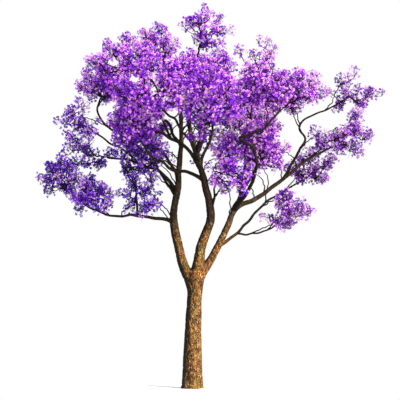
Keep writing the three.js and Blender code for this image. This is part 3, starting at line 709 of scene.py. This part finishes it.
# Gaps where the sky shows through the crown from the camera's place, on the upright plane through the
# trunk: how far across and up, and half the width and half the height.
SKY_GAPS = np.array([
    (-1.91, 5.29, 0.24, 0.29), (-1.83, 5.76, 0.2, 0.2), (-1.78, 4.43, 0.3, 0.28), (-1.22, 6.5, 0.2, 0.13),
    (-0.86, 6.52, 0.17, 0.13), (-0.83, 6.26, 0.14, 0.13), (-0.08, 7.33, 0.18, 0.24), (0.92, 6.51, 0.19, 0.15),
    (1.26, 7.24, 0.16, 0.24), (1.92, 6.82, 0.18, 0.27), (1.89, 5.2, 0.19, 0.19), (2.56, 5.84, 0.18, 0.2),
    (2.92, 5.6, 0.32, 0.27), (3.02, 4.52, 0.19, 0.18), (1.64, 3.78, 0.2, 0.24), (2.3, 3.42, 0.22, 0.16),
    (3.57, 6.44, 0.22, 0.17), (3.82, 5.88, 0.24, 0.2), (-0.58, 4.15, 0.16, 0.34), (-0.06, 4.78, 0.16, 0.22),
])

# Patches on the same plane where the boughs carry panicles on short shoots of their own.
FULL_PATCHES = np.array([(0.43, 5.4, 0.42, 0.42), (-0.86, 5.12, 0.28, 0.22)])

mass_middles = np.array([limb["middle"] for limb in limbs])
mass_sizes = np.array([np.cbrt(limb["reach"].prod()) for limb in limbs])
ball_shares = np.linspace(0, 1, LIMB_BALLS)
limb_points = np.concatenate([places_on(limb["line"], ball_shares) for limb in limbs])
limb_radii = np.concatenate([limb_radius(limb, ball_shares) for limb in limbs])


def heading_at(height, turn):
    """Directions of length one at a height from -1 to 1 and a turn about the upright axis."""
    level = np.sqrt(1 - height**2)
    return np.stack([level * np.cos(turn), level * np.sin(turn), height], axis=-1)


def random_headings(count, seed):
    """Directions dealt evenly over the ball: a height and a turn by chance."""
    number = np.arange(count)
    return heading_at(2 * dealt_out(number, seed, 1) - 1, 2 * np.pi * dealt_out(number, seed, 2))


def scatter(count, seed):
    """Evenly scattered triples from 0 to 1: steps by powers of the root of x^4 = x + 1, shifted by a seed."""
    steps = SCATTER_ROOT ** -np.arange(1.0, 4.0)
    return (0.5 + seed * SEED_STEP + np.arange(count)[:, None] * steps) % 1


def depth_in_space(points, mass):
    """How far points lie inside a mass's own space. Spaces are parted by planes, each where the distances
    squared to two masses' middles, less their mean half-sizes squared, are equal."""
    power = ((points[:, None] - mass_middles) ** 2).sum(axis=2) - mass_sizes**2
    apart = np.linalg.norm(mass_middles - mass_middles[mass], axis=1)
    apart[mass] = 1.0
    depths = (power - power[:, [mass]]) / (2 * apart)
    depths[:, mass] = np.inf
    return depths.min(axis=1)


def clear_of_limbs(points):
    """The room between points and the nearest limb's surface."""
    near = np.linalg.norm(points[:, None] - limb_points, axis=2) - limb_radii
    return near.min(axis=1)


def seen_in(points, patches):
    """Whether points are seen in one of some patches: they are carried along the sight from the camera to
    the upright plane through the trunk, where each patch is an ellipse."""
    eye = np.array(CAMERA_PLACE)
    seen = eye + (points - eye) * eye[1] / (eye[1] - points[:, 1:2])
    across = (seen[:, [0]] - patches[:, 0]) / patches[:, 2]
    up = (seen[:, [2]] - patches[:, 1]) / patches[:, 3]
    return (across**2 + up**2 < 1).any(axis=1)


def spaced_out(points, distance, most):
    """The places of points that lie a distance apart, taken in turn until there are enough."""
    kept = []
    for n, point in enumerate(points):
        if len(kept) < most and (np.linalg.norm(points[kept] - point, axis=1) > distance).all():
            kept.append(n)
    return np.array(kept, dtype=int)


def panicle_places(mass, seed):
    """Places for a mass's panicles: one at each end of its space's axes but the lower, then scattered ones.
    They are drawn together into clumps, more so in a mass that is less full, and each is kept where
    it stays in the mass's space, clear of the limbs and the sky's gaps, and apart from those before it."""
    limb = limbs[mass]
    triples = scatter(PANICLE_TRIES, seed)
    heading = heading_at(between((LOWEST_HEADING, 1), triples[:, 1]), 2 * np.pi * triples[:, 2])
    far = triples[:, 0] ** OUTWARD_BIAS
    heading[:len(AXIS_ENDS)] = AXIS_ENDS
    far[:len(AXIS_ENDS)] = 1.0
    places = limb["middle"] + heading * (limb["reach"] - PUFF_RADIUS) * far[:, None]
    inside = depth_in_space(places, mass) > SPACE_MARGIN
    places, heading = places[inside], heading[inside]
    clumps = places[spaced_out(places, CLUMP_SPACING * mass_sizes[mass], len(places))]
    own_clump = clumps[np.linalg.norm(places[:, None] - clumps, axis=2).argmin(axis=1)]
    pull = min(MOST_CLUMP_PULL, CLUMP_PULL / limb["fullness"] ** 2)
    places = places + pull * (own_clump - places)
    clear = (clear_of_limbs(places) > LIMB_MARGIN) & ~seen_in(places, SKY_GAPS)
    places, heading = places[clear], heading[clear]
    wanted = round(PANICLES_PER_M2 * (mass_sizes[mass] * limb["fullness"]) ** 2)
    kept = spaced_out(places, PANICLE_SPACING, wanted)
    return places[kept], heading[kept]


def grow_twigs(limb, feet):
    """Points of a mass's twigs, each with its parent. A stem grows from the limb's tip towards the middle of
    the space; then, nearest first, each panicle's twig joins the point already grown that lies
    nearest, counting also a share of the way from that point back to the stem's foot."""
    foot = limb["line"][-1]
    heading = unit(limb["line"][-1] - limb["line"][-2])
    lower = foot + heading * np.linalg.norm(foot - limb["middle"]) * STEM_REACH[0]
    upper = lower + (limb["middle"] - lower) * STEM_REACH[1]
    first_way = np.linalg.norm(lower - foot)
    points = [foot, lower, upper]
    parents = [-1, 0, 1]
    paths = [0.0, first_way, first_way + np.linalg.norm(upper - lower)]
    reached = []
    for k in np.argsort(np.linalg.norm(feet - foot, axis=1)):
        ways = np.linalg.norm(np.array(points) - feet[k], axis=1)
        costs = ways + PATH_BIAS * np.array(paths)
        costs[0] = np.inf
        for join in np.argsort(costs)[:JOINS_TRIED]:
            shares = np.linspace(CLEAR_FROM, 1, CLEAR_STEPS)[:, None]
            stretch = points[join] + shares * (feet[k] - points[join])
            if clear_of_limbs(stretch).min() > TWIG_MARGIN:
                points.append(feet[k])
                parents.append(int(join))
                paths.append(paths[join] + ways[join])
                reached.append(k)
                break
    return np.array(points), np.array(parents), np.array(reached, dtype=int)


def twig_chains(parents):
    """Twigs as chains of points: at each point the twig that carries most goes on, and the others start
    there. Also tells how many twig ends each point carries."""
    load = np.ones(len(parents))
    for i in range(len(parents) - 1, 0, -1):
        load[parents[i]] += load[i]
    heirs = [sorted(np.flatnonzero(parents == i), key=lambda k: -load[k]) for i in range(len(parents))]
    chains = [[0]] + [[i, k] for i, branches in enumerate(heirs) for k in branches[1:]]
    for chain in chains:
        while heirs[chain[-1]]:
            chain.append(heirs[chain[-1]][0])
    return chains, load


def twig_surface(points, chain, load, thickest, phase):
    """One chain as a tube that thins as it carries less, crooked between its points and steady at them."""
    line = line_through(points[chain], TWIG_STEPS)
    steps = np.arange(len(line)) / TWIG_STEPS
    line = crooked(line, TWIG_CROOK * np.sin(np.pi * (steps % 1)), TWIG_WAVES, phase)
    carried = load[chain]
    if chain[0] != 0:
        carried[0] = carried[1]
    thick = np.minimum(thickest, TWIG_TIP_RADIUS * carried**TWIG_LOAD_POWER)
    radii = np.interp(steps, np.arange(len(chain)), thick)
    angles = 2 * np.pi * np.arange(TWIG_SIDES) / TWIG_SIDES
    return tube_surface(rings_along(line, radii[:, None] * np.ones(TWIG_SIDES), angles))


def side_twig(limb, share, feet):
    """Points of a twig that leaves a limb at a share of its length and bows along it to the nearest of the
    panicles' feet that lies higher, and which one that is; no points where none can be reached."""
    start, further = places_on(limb["line"], [share, share + HEADING_STEP])
    ways = np.linalg.norm(feet - start, axis=1)
    ways[(ways < SIDE_TWIG_REACH[0]) | (feet[:, 2] < start[2] + SIDE_TWIG_RISE)] = np.inf
    end = ways.argmin()
    if ways[end] > SIDE_TWIG_REACH[1]:
        return None, end
    bow = unit(further - start) * SIDE_TWIG_BOW * ways[end]
    bent = np.array([start, (start + feet[end]) / 2 + bow, feet[end]])
    is_clear = clear_of_limbs(line_through(bent, TWIG_STEPS)[TWIG_STEPS:]).min() > TWIG_MARGIN
    return bent if is_clear and not seen_in(bent[1:2], SKY_GAPS)[0] else None, end


def joined(surfaces):
    """Several surfaces as one: their points in a row, and their triangles counted on from those before."""
    counts = np.cumsum([0] + [len(points) for points, _ in surfaces[:-1]])
    points = np.concatenate([points for points, _ in surfaces])
    triangles = np.concatenate([triangles + first for (_, triangles), first in zip(surfaces, counts)])
    return points, triangles


# The twigs' crown shade colour is painted shade of the crown, which covers nearly every twig.
TWIG_BARK = bark_material(
    "twig_bark", furrow_scale=60.0, browns=(tint(46, 32, 26), tint(66, 47, 38), tint(98, 72, 54)),
    fleck=tint(112, 88, 66), furrow=tint(28, 19, 17), crown_shadow_paint=tint(38, 27, 27), turns_at=(3.0, 4.0),
)

twig_surfaces = []
panicle_feet = []
panicle_heads = []
panicle_masses = []
for mass, limb in enumerate(limbs):
    places, headings = panicle_places(mass, mass + 1)
    rising = unit(unit(headings) + PANICLE_RISE)
    feet = places - rising * PANICLE_FOOT_DEPTH
    points, parents, reached = grow_twigs(limb, feet)
    chains, load = twig_chains(parents)
    for phase, chain in enumerate(chains):
        if len(chain) > 1:
            thickest = THICKEST_TWIG * limb["radii"][1]
            twig_surfaces.append(twig_surface(points, chain, load, thickest, CROOK_PHASE * phase))
    panicle_feet.append(feet[reached])
    panicle_heads.append(rising[reached])
    panicle_masses.append(np.full(len(reached), mass))

for mass, limb in enumerate(limbs):
    starts = places_on(limb["line"], np.arange(0, 1, SHOOT_SPACING / limb["length"]))
    starts = starts[seen_in(starts, FULL_PATCHES)]
    headings = unit(random_headings(len(starts), SHOOT_SEED + mass) + SHOOT_RISE)
    ends = starts + SHOOT_LENGTH * headings
    bows = SHOOT_BOW * SHOOT_LENGTH * random_headings(len(starts), SHOOT_SEED - mass)
    middles = (starts + ends) / 2 + bows
    is_open = (clear_of_limbs(ends) > LIMB_MARGIN) & ~seen_in(ends, SKY_GAPS)
    for phase, bent in enumerate(np.stack([starts, middles, ends], axis=1)[is_open]):
        twig_surfaces.append(twig_surface(bent, [0, 1, 2], SIDE_TWIG_LOAD, 1.0, CROOK_PHASE * phase))
    panicle_feet.append(ends[is_open])
    panicle_heads.append(headings[is_open])
    panicle_masses.append(np.full(is_open.sum(), mass))

feet = np.concatenate(panicle_feet)
mass_of_panicle = np.concatenate(panicle_masses)
panicle_number = np.arange(len(feet))
panicle_outward = (feet - mass_middles[mass_of_panicle]) / mass_sizes[mass_of_panicle][:, None]

open_feet = feet.copy()
for limb in limbs:
    steps = np.arange(1, SIDE_TWIG_SHARE * limb["length"] / SIDE_TWIG_SPACING)
    backs = SIDE_TWIG_SPACING * (steps - SIDE_TWIG_UNEVENNESS * dealt_out(steps, limb["length"]))
    for phase, back in enumerate(backs):
        bent, end = side_twig(limb, 1 - back / limb["length"], open_feet)
        if bent is not None:
            twig_surfaces.append(twig_surface(bent, [0, 1, 2], SIDE_TWIG_LOAD, 1.0, CROOK_PHASE * phase))
            open_feet[end] = np.inf

twigs = surface_piece("twigs", *joined(twig_surfaces), [TWIG_BARK])

# Panicle stalks. Each twig ends in a panicle: a stalk as thin as a pencil lead with short side stalks
# all round it, longest halfway up, so that the whole is a loose round puff, and two bare crooked spurs
# at its foot. They are thin green wood with a dark purple skin.
SIDE_STALKS = 14
STALK_LENGTH = 0.16
STALK_RADIUS = 0.006
SIDE_STALK_RADIUS = 0.005
STALK_CROSS = np.array([0.31, 0.87, 0.38])
PANICLE_SIZES = (0.8, 1.2)
FIRST_SIDE_STALK = 0.6
SIDE_RISES = (-0.45, 1.45)
SIDE_RISE_SPREAD = 0.5
SIDE_REACHES = (0.055, 0.145)
PUFF_OUTLINE = (0.25, 0.85)
SPURS = 2
SPUR_LENGTHS = (0.1, 0.3)
SPUR_RADIUS = 0.0065
SPUR_SPREAD = 0.8
SPUR_RISE = np.array([0.0, 0.0, 0.6])
SPUR_BENDS = ((0.0, 0.0), (0.4, 0.16), (0.7, -0.08), (1.0, 0.12))
GOLDEN_TURN = np.pi * (3 - np.sqrt(5))


def repeated(triangles, copies, points_each):
    """The triangles of many copies of a shape, each copy's counted on from the points of those before."""
    first = points_each * np.arange(copies)[:, None, None]
    return (triangles + first).reshape(-1, 3)


def fine_stalks(lines, radius):
    """Three-sided stalks along lines of a few points each, that narrow evenly to nothing: a ring at each
    point but the last, the wall between the rings, a tip and a foot."""
    count = lines.shape[1] - 1
    across, beside = square_to(unit(lines[:, -1] - lines[:, 0]), STALK_CROSS)
    rounds = round_about(across[:, None], beside[:, None], 2 * np.pi * np.arange(3) / 3)
    narrowing = radius * (1 - np.arange(count) / count)
    around = lines[:, :-1, None] + narrowing[:, None, None] * rounds[:, None]
    points = np.concatenate([around.reshape(len(lines), -1, 3), lines[:, -1:]], axis=1)
    places, onward, wall = ring_wall(count, 3)
    tip = np.stack([places[-1], onward[-1], np.full(3, places.size)], axis=1)
    one = np.concatenate([wall, tip, [[0, 2, 1]]])
    return points.reshape(-1, 3), repeated(one, *points.shape[:2])


def plain_material(name, color, roughness, specular):
    """A matt material of one plain colour."""
    material, _, shader = new_material(name)
    shader.inputs["Base Color"].default_value = color
    shader.inputs["Roughness"].default_value = roughness
    shader.inputs["Specular IOR Level"].default_value = specular
    return material


heads = np.concatenate(panicle_heads)
panicle_sizes = between(PANICLE_SIZES, dealt_out(panicle_number, 3))
panicle_across, panicle_beside = square_to(heads, STALK_CROSS)
stalk_lengths = STALK_LENGTH * panicle_sizes

side_number = np.arange(SIDE_STALKS)
side_climb = (side_number + FIRST_SIDE_STALK) / SIDE_STALKS
side_chance = dealt_out(panicle_number[:, None], side_number[None, :], 5)
side_turn = GOLDEN_TURN * side_number[None, :] + 2 * np.pi * dealt_out(panicle_number, 9)[:, None]
side_out = round_about(panicle_across[:, None], panicle_beside[:, None], side_turn)
side_rise = between(SIDE_RISES, side_climb[None, :]) + SIDE_RISE_SPREAD * (side_chance - 0.5)
side_heads = unit(side_out + side_rise[..., None] * heads[:, None])
side_feet = feet[:, None] + heads[:, None] * (side_climb[None, :] * stalk_lengths[:, None])[..., None]
side_reach = between(SIDE_REACHES, side_chance) * panicle_sizes[:, None]
side_reach = side_reach * np.sin(np.pi * between(PUFF_OUTLINE, side_climb))[None, :]
side_ends = side_feet + side_heads * side_reach[..., None]

stalk_tips = feet + heads * stalk_lengths[:, None]
main_lines = np.stack([feet, stalk_tips], axis=1)
side_lines = np.stack([side_feet, side_ends], axis=2).reshape(-1, 2, 3)
stalk_surfaces = [fine_stalks(main_lines, STALK_RADIUS), fine_stalks(side_lines, SIDE_STALK_RADIUS)]
for lot in range(SPURS):
    spur_heads = unit(unit(panicle_outward) + SPUR_SPREAD * random_headings(len(feet), lot) + SPUR_RISE)
    swings = random_headings(len(feet), SPURS + lot)
    lengths = between(SPUR_LENGTHS, dealt_out(panicle_number, lot, 3))[:, None]
    bends = [feet + lengths * (ahead * spur_heads + aside * swings) for ahead, aside in SPUR_BENDS]
    stalk_surfaces.append(fine_stalks(np.stack(bends, axis=1), SPUR_RADIUS))

STALK_SKIN = plain_material("panicle_stalk", tint(56, 18, 72), roughness=0.8, specular=0.5)
stalks = surface_piece("panicle_stalks", *joined(stalk_surfaces), [STALK_SKIN], smooth=False)

# Flowers. Violet trumpets about as long as a thumb's end, with five spread lobes, stand in a tight spray
# at the end of each side stalk. A spray has one tint, with older, paler flowers and dark buds in it.
FLOWERS = 4
FLOWER_LENGTHS = (0.02625, 0.04375)
FLOWER_FANS = (0.46, 2.185)
FLOWER_CROSS = np.array([0.53, 0.27, 0.8])
FLOWER_TILT = np.array([0.02, 0.03, 0.05])
FIRST_FLOWER = 0.74
OLDER_SHARE = 0.26
BUD_SHARE = 0.16
BUD_OPENING = 0.45
FALLEN_SHARES = (0.066, 0.374)
LOBES = 5
LOBE_RADIUS = 0.5
LOBE_TOP = 0.8
LOBE_WIDTH = 0.8
# SUNWARD and SUN_WEIGHT paint light: sprays on the side of a mass that faces the key light are dealt paler
# tints more often.
SUNWARD = np.array([0.62, -0.3, 0.72])
SUN_WEIGHT = 0.2
PANICLE_WEIGHT = 0.32
SPRAY_WEIGHT = 0.48


def flower_shape():
    """One flower of length one along z: five flat lobes in a ring, each a triangle from the flower's foot to
    two corners on a circle round its mouth, with a notch between it and the next."""
    lobe = np.arange(LOBES)
    edges = LOBE_WIDTH * np.array([-0.5, 0.5])
    turn = 2 * np.pi * (lobe[:, None] + edges[None, :]).ravel() / LOBES
    mouth = np.stack([LOBE_RADIUS * np.cos(turn), LOBE_RADIUS * np.sin(turn), LOBE_TOP + 0 * turn], axis=1)
    triangles = np.stack([0 * lobe, 2 + 2 * lobe, 1 + 2 * lobe], axis=1)
    return np.concatenate([np.zeros((1, 3)), mouth]), triangles


def flowers_on(feet, ends, headings, numbers):
    """The flowers on some side stalks: from a share of the stalk's length to its end they fan out round its
    heading, each a little longer or shorter and turned by chance. Also tells each face's age: 0 in full
    bloom, 1 older, and 2 a bud, which is narrower."""
    shape, triangles = flower_shape()
    flower = np.arange(FLOWERS)
    row = numbers[:, None]
    chance = dealt_out(row, flower[None, :], 2)
    along = between((FIRST_FLOWER, 1), flower / (FLOWERS - 1))
    roots = feet[:, None] + along[None, :, None] * (ends - feet)[:, None]
    across, beside = square_to(headings, FLOWER_CROSS)
    turn = GOLDEN_TURN * flower[None, :] + 2 * np.pi * dealt_out(row, 7)
    fan = between(FLOWER_FANS, chance)[..., None] * round_about(across[:, None], beside[:, None], turn)
    axis = unit(headings[:, None] + fan)
    level, upright = square_to(axis, headings[:, None] + FLOWER_TILT)
    side = round_about(level, upright, 2 * np.pi * chance)
    other = np.cross(axis, side)
    length = between(FLOWER_LENGTHS, dealt_out(row, flower[None, :], 6))[..., None, None]
    lot = dealt_out(row, flower[None, :], 8)
    age = np.where(lot < OLDER_SHARE, 1, np.where(lot > 1 - BUD_SHARE, 2, 0))
    opening = np.where(age == 2, BUD_OPENING, 1.0)[..., None, None]
    points = roots[:, :, None] + length * (
        opening * shape[:, 0][:, None] * side[:, :, None]
        + opening * shape[:, 1][:, None] * other[:, :, None]
        + shape[:, 2][:, None] * axis[:, :, None])
    age_of_face = np.repeat(age.ravel(), len(triangles))
    return points.reshape(-1, 3), repeated(triangles, len(ends) * FLOWERS, len(shape)), age_of_face


# Each part of the crown: its name, the record's slot, how far right it goes and from what height to what,
# its buds' colour, and for its shades from dark to pale the share of sprays up to each, then their young and
# their older flowers' colours. Sprays are ranked into shades partly by chance and partly by how far they face
# the key light, which is painted light. The left parts' deeper, bluer tints are partly the flowers' own tone
# and partly painted shade of the crown's side away from the key light.
SHADES = ("dark", "mid", "light", "pale")
CROWN_PARTS = [
    ("left_low", "deep_violet_blossom", -0.9, (0.0, 5.2), (34, 6, 88), (0.42, 0.72, 0.91, 1.0),
     [(56, 4, 148), (100, 18, 212), (154, 60, 242), (212, 148, 243)],
     [(110, 44, 180), (178, 102, 226), (214, 152, 244), (240, 202, 243)]),
    ("left_outer", "violet_blossom", -1.8, (5.2, 6.0), (42, 6, 96), (0.4, 0.7, 0.9, 1.0),
     [(72, 6, 160), (120, 26, 216), (166, 68, 242), (216, 152, 243)],
     [(130, 54, 192), (192, 110, 230), (222, 160, 242), (242, 206, 243)]),
    ("middle", "violet_blossom", 1.0, (0.0, 9.0), (50, 6, 106), (0.27, 0.53, 0.78, 1.0),
     [(94, 6, 188), (155, 32, 240), (198, 78, 251), (236, 160, 249)],
     [(158, 64, 210), (226, 124, 242), (248, 178, 247), (253, 214, 247)]),
    ("right", "pink_violet_blossom", 2.3, (4.0, 9.0), (52, 8, 98), (0.26, 0.5, 0.73, 1.0),
     [(102, 9, 180), (164, 40, 232), (206, 88, 250), (241, 172, 250)],
     [(164, 74, 200), (228, 134, 236), (251, 184, 246), (254, 218, 248)]),
    ("far_right", "pink_violet_blossom", 9.0, (0.0, 9.0), (48, 10, 84), (0.36, 0.62, 0.84, 1.0),
     [(96, 20, 160), (146, 52, 208), (190, 100, 232), (228, 172, 238)],
     [(150, 76, 184), (208, 130, 220), (236, 178, 234), (246, 212, 240)]),
]

# Painted light: a spray's lot, and so its shade from dark to pale, rises where its panicle faces the key
# light on its mass; the rest of the lot is by chance.
sunlit = np.clip(0.5 + 0.5 * panicle_outward @ SUNWARD, 0, 1)
panicle_lot = SUN_WEIGHT * sunlit + PANICLE_WEIGHT * dealt_out(panicle_number, 4)
spray_lot = panicle_lot[:, None] + SPRAY_WEIGHT * side_chance
spray_rank = np.argsort(np.argsort(spray_lot.ravel())).reshape(spray_lot.shape) / spray_lot.size
spray_number = np.arange(spray_lot.size).reshape(spray_lot.shape)
fallen_share = between(FALLEN_SHARES, dealt_out(panicle_number, 11))
in_bloom = dealt_out(spray_number, 9) > fallen_share[:, None]

unclaimed = np.ones(len(limbs), dtype=bool)
for part, slot, right_end, (low_end, top_end), bud, shares, young, older in CROWN_PARTS:
    in_heights = (mass_middles[:, 2] > low_end) & (mass_middles[:, 2] < top_end)
    here = unclaimed & in_heights & (mass_middles[:, 0] < right_end)
    unclaimed &= ~here
    nodes = [limbs[k]["blossom"] + "_blossom" for k in np.flatnonzero(here)]
    own = here[mass_of_panicle]
    darker_share = 0.0
    for shade, share, young_petal, older_petal in zip(SHADES, shares, young, older):
        chosen = in_bloom & own[:, None] & (spray_rank >= darker_share) & (spray_rank < share)
        points, triangles, age_of_face = flowers_on(
            side_feet[chosen], side_ends[chosen], side_heads[chosen], spray_number[chosen])
        name = f"{part}_flowers_{shade}"
        ages = {"": young_petal, "_older": older_petal, "_bud": bud}
        finishes = [plain_material(name + age, tint(*ages[age]), roughness=0.6, specular=0.2) for age in ages]
        flowers = surface_piece(name, points, triangles, finishes, age_of_face, smooth=False)
        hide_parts(*nodes)
        darker_share = share

# Studio. A plain pale round floor under the cut, sunlike key light from the right and above, and a soft
# surround, brightest to the front and right and fading to the other side, with the camera thirty metres
# off, a little over head height.
FLOOR_RADIUS = 1.2
FLOOR_SIDES = 96
FLOOR_DROP = 0.002
FLOOR_PAINT = (0.96, 0.96, 0.96, 1.0)
KEY_ENERGY = 4.7
KEY_COLOR = (1.0, 0.97, 0.92)
KEY_ANGLE = np.radians(14.0)
KEY_TILT = np.radians(52.0)
KEY_TURN = np.radians(52.0)
BRIGHT_SIDE = (0.62, -0.7, 0.36)
SURROUND_FADES = (-0.5, 1.0)
SURROUND_DARK = 0.55
SURROUND_BRIGHT = 1.5
CAMERA_AIM = (0.168, 0.0, 3.927)
CAMERA_REACH = 1000.0
PICTURE_WIDTH = 8.4
SENSOR_WIDTH = 36.0


floor_turn = 2 * np.pi * np.arange(FLOOR_SIDES) / FLOOR_SIDES
floor_rim = np.stack([np.cos(floor_turn), np.sin(floor_turn), 0 * floor_turn], axis=1) * FLOOR_RADIUS
floor_rim[:, 2] = -FLOOR_DROP
floor_mesh = bpy.data.meshes.new("floor")
floor_mesh.from_pydata(floor_rim.tolist(), [], [list(range(FLOOR_SIDES))])
floor_mesh.materials.append(plain_material("pale_floor", FLOOR_PAINT, roughness=1.0, specular=0.0))
placed("floor", floor_mesh)

key = bpy.data.lights.new("key", "SUN")
key.energy = KEY_ENERGY
key.angle = KEY_ANGLE
key.color = KEY_COLOR
placed("key", key).rotation_euler = (KEY_TILT, 0.0, KEY_TURN)

surround = bpy.data.worlds.new("surround")
surround.use_nodes = True
bpy.context.scene.world = surround
sky_nodes = surround.node_tree
sky = sky_nodes.nodes["Background"]
sky.inputs["Color"].default_value = (1.0, 1.0, 1.0, 1.0)
way = add_node(sky_nodes, "TexCoord", {}).outputs["Generated"]
bright = facing(sky_nodes, way, BRIGHT_SIDE)
glow = spread(sky_nodes, bright, *SURROUND_FADES, SURROUND_DARK, SURROUND_BRIGHT, curve="SMOOTHSTEP")
in_sight = add_node(sky_nodes, "LightPath", {}).outputs["Is Camera Ray"]
sky_nodes.links.new(spread(sky_nodes, in_sight, 0.0, 1.0, least=glow), sky.inputs["Strength"])

camera_lens = bpy.data.cameras.new("camera")
camera = placed("camera", camera_lens)
camera.location = CAMERA_PLACE
sight = Vector(CAMERA_AIM) - Vector(CAMERA_PLACE)
camera.rotation_euler = sight.to_track_quat("-Z", "Y").to_euler()
camera_lens.sensor_width = SENSOR_WIDTH
camera_lens.lens = SENSOR_WIDTH * sight.length / PICTURE_WIDTH
camera_lens.clip_end = CAMERA_REACH
bpy.context.scene.camera = camera
bpy.context.scene.view_settings.view_transform = "Standard"
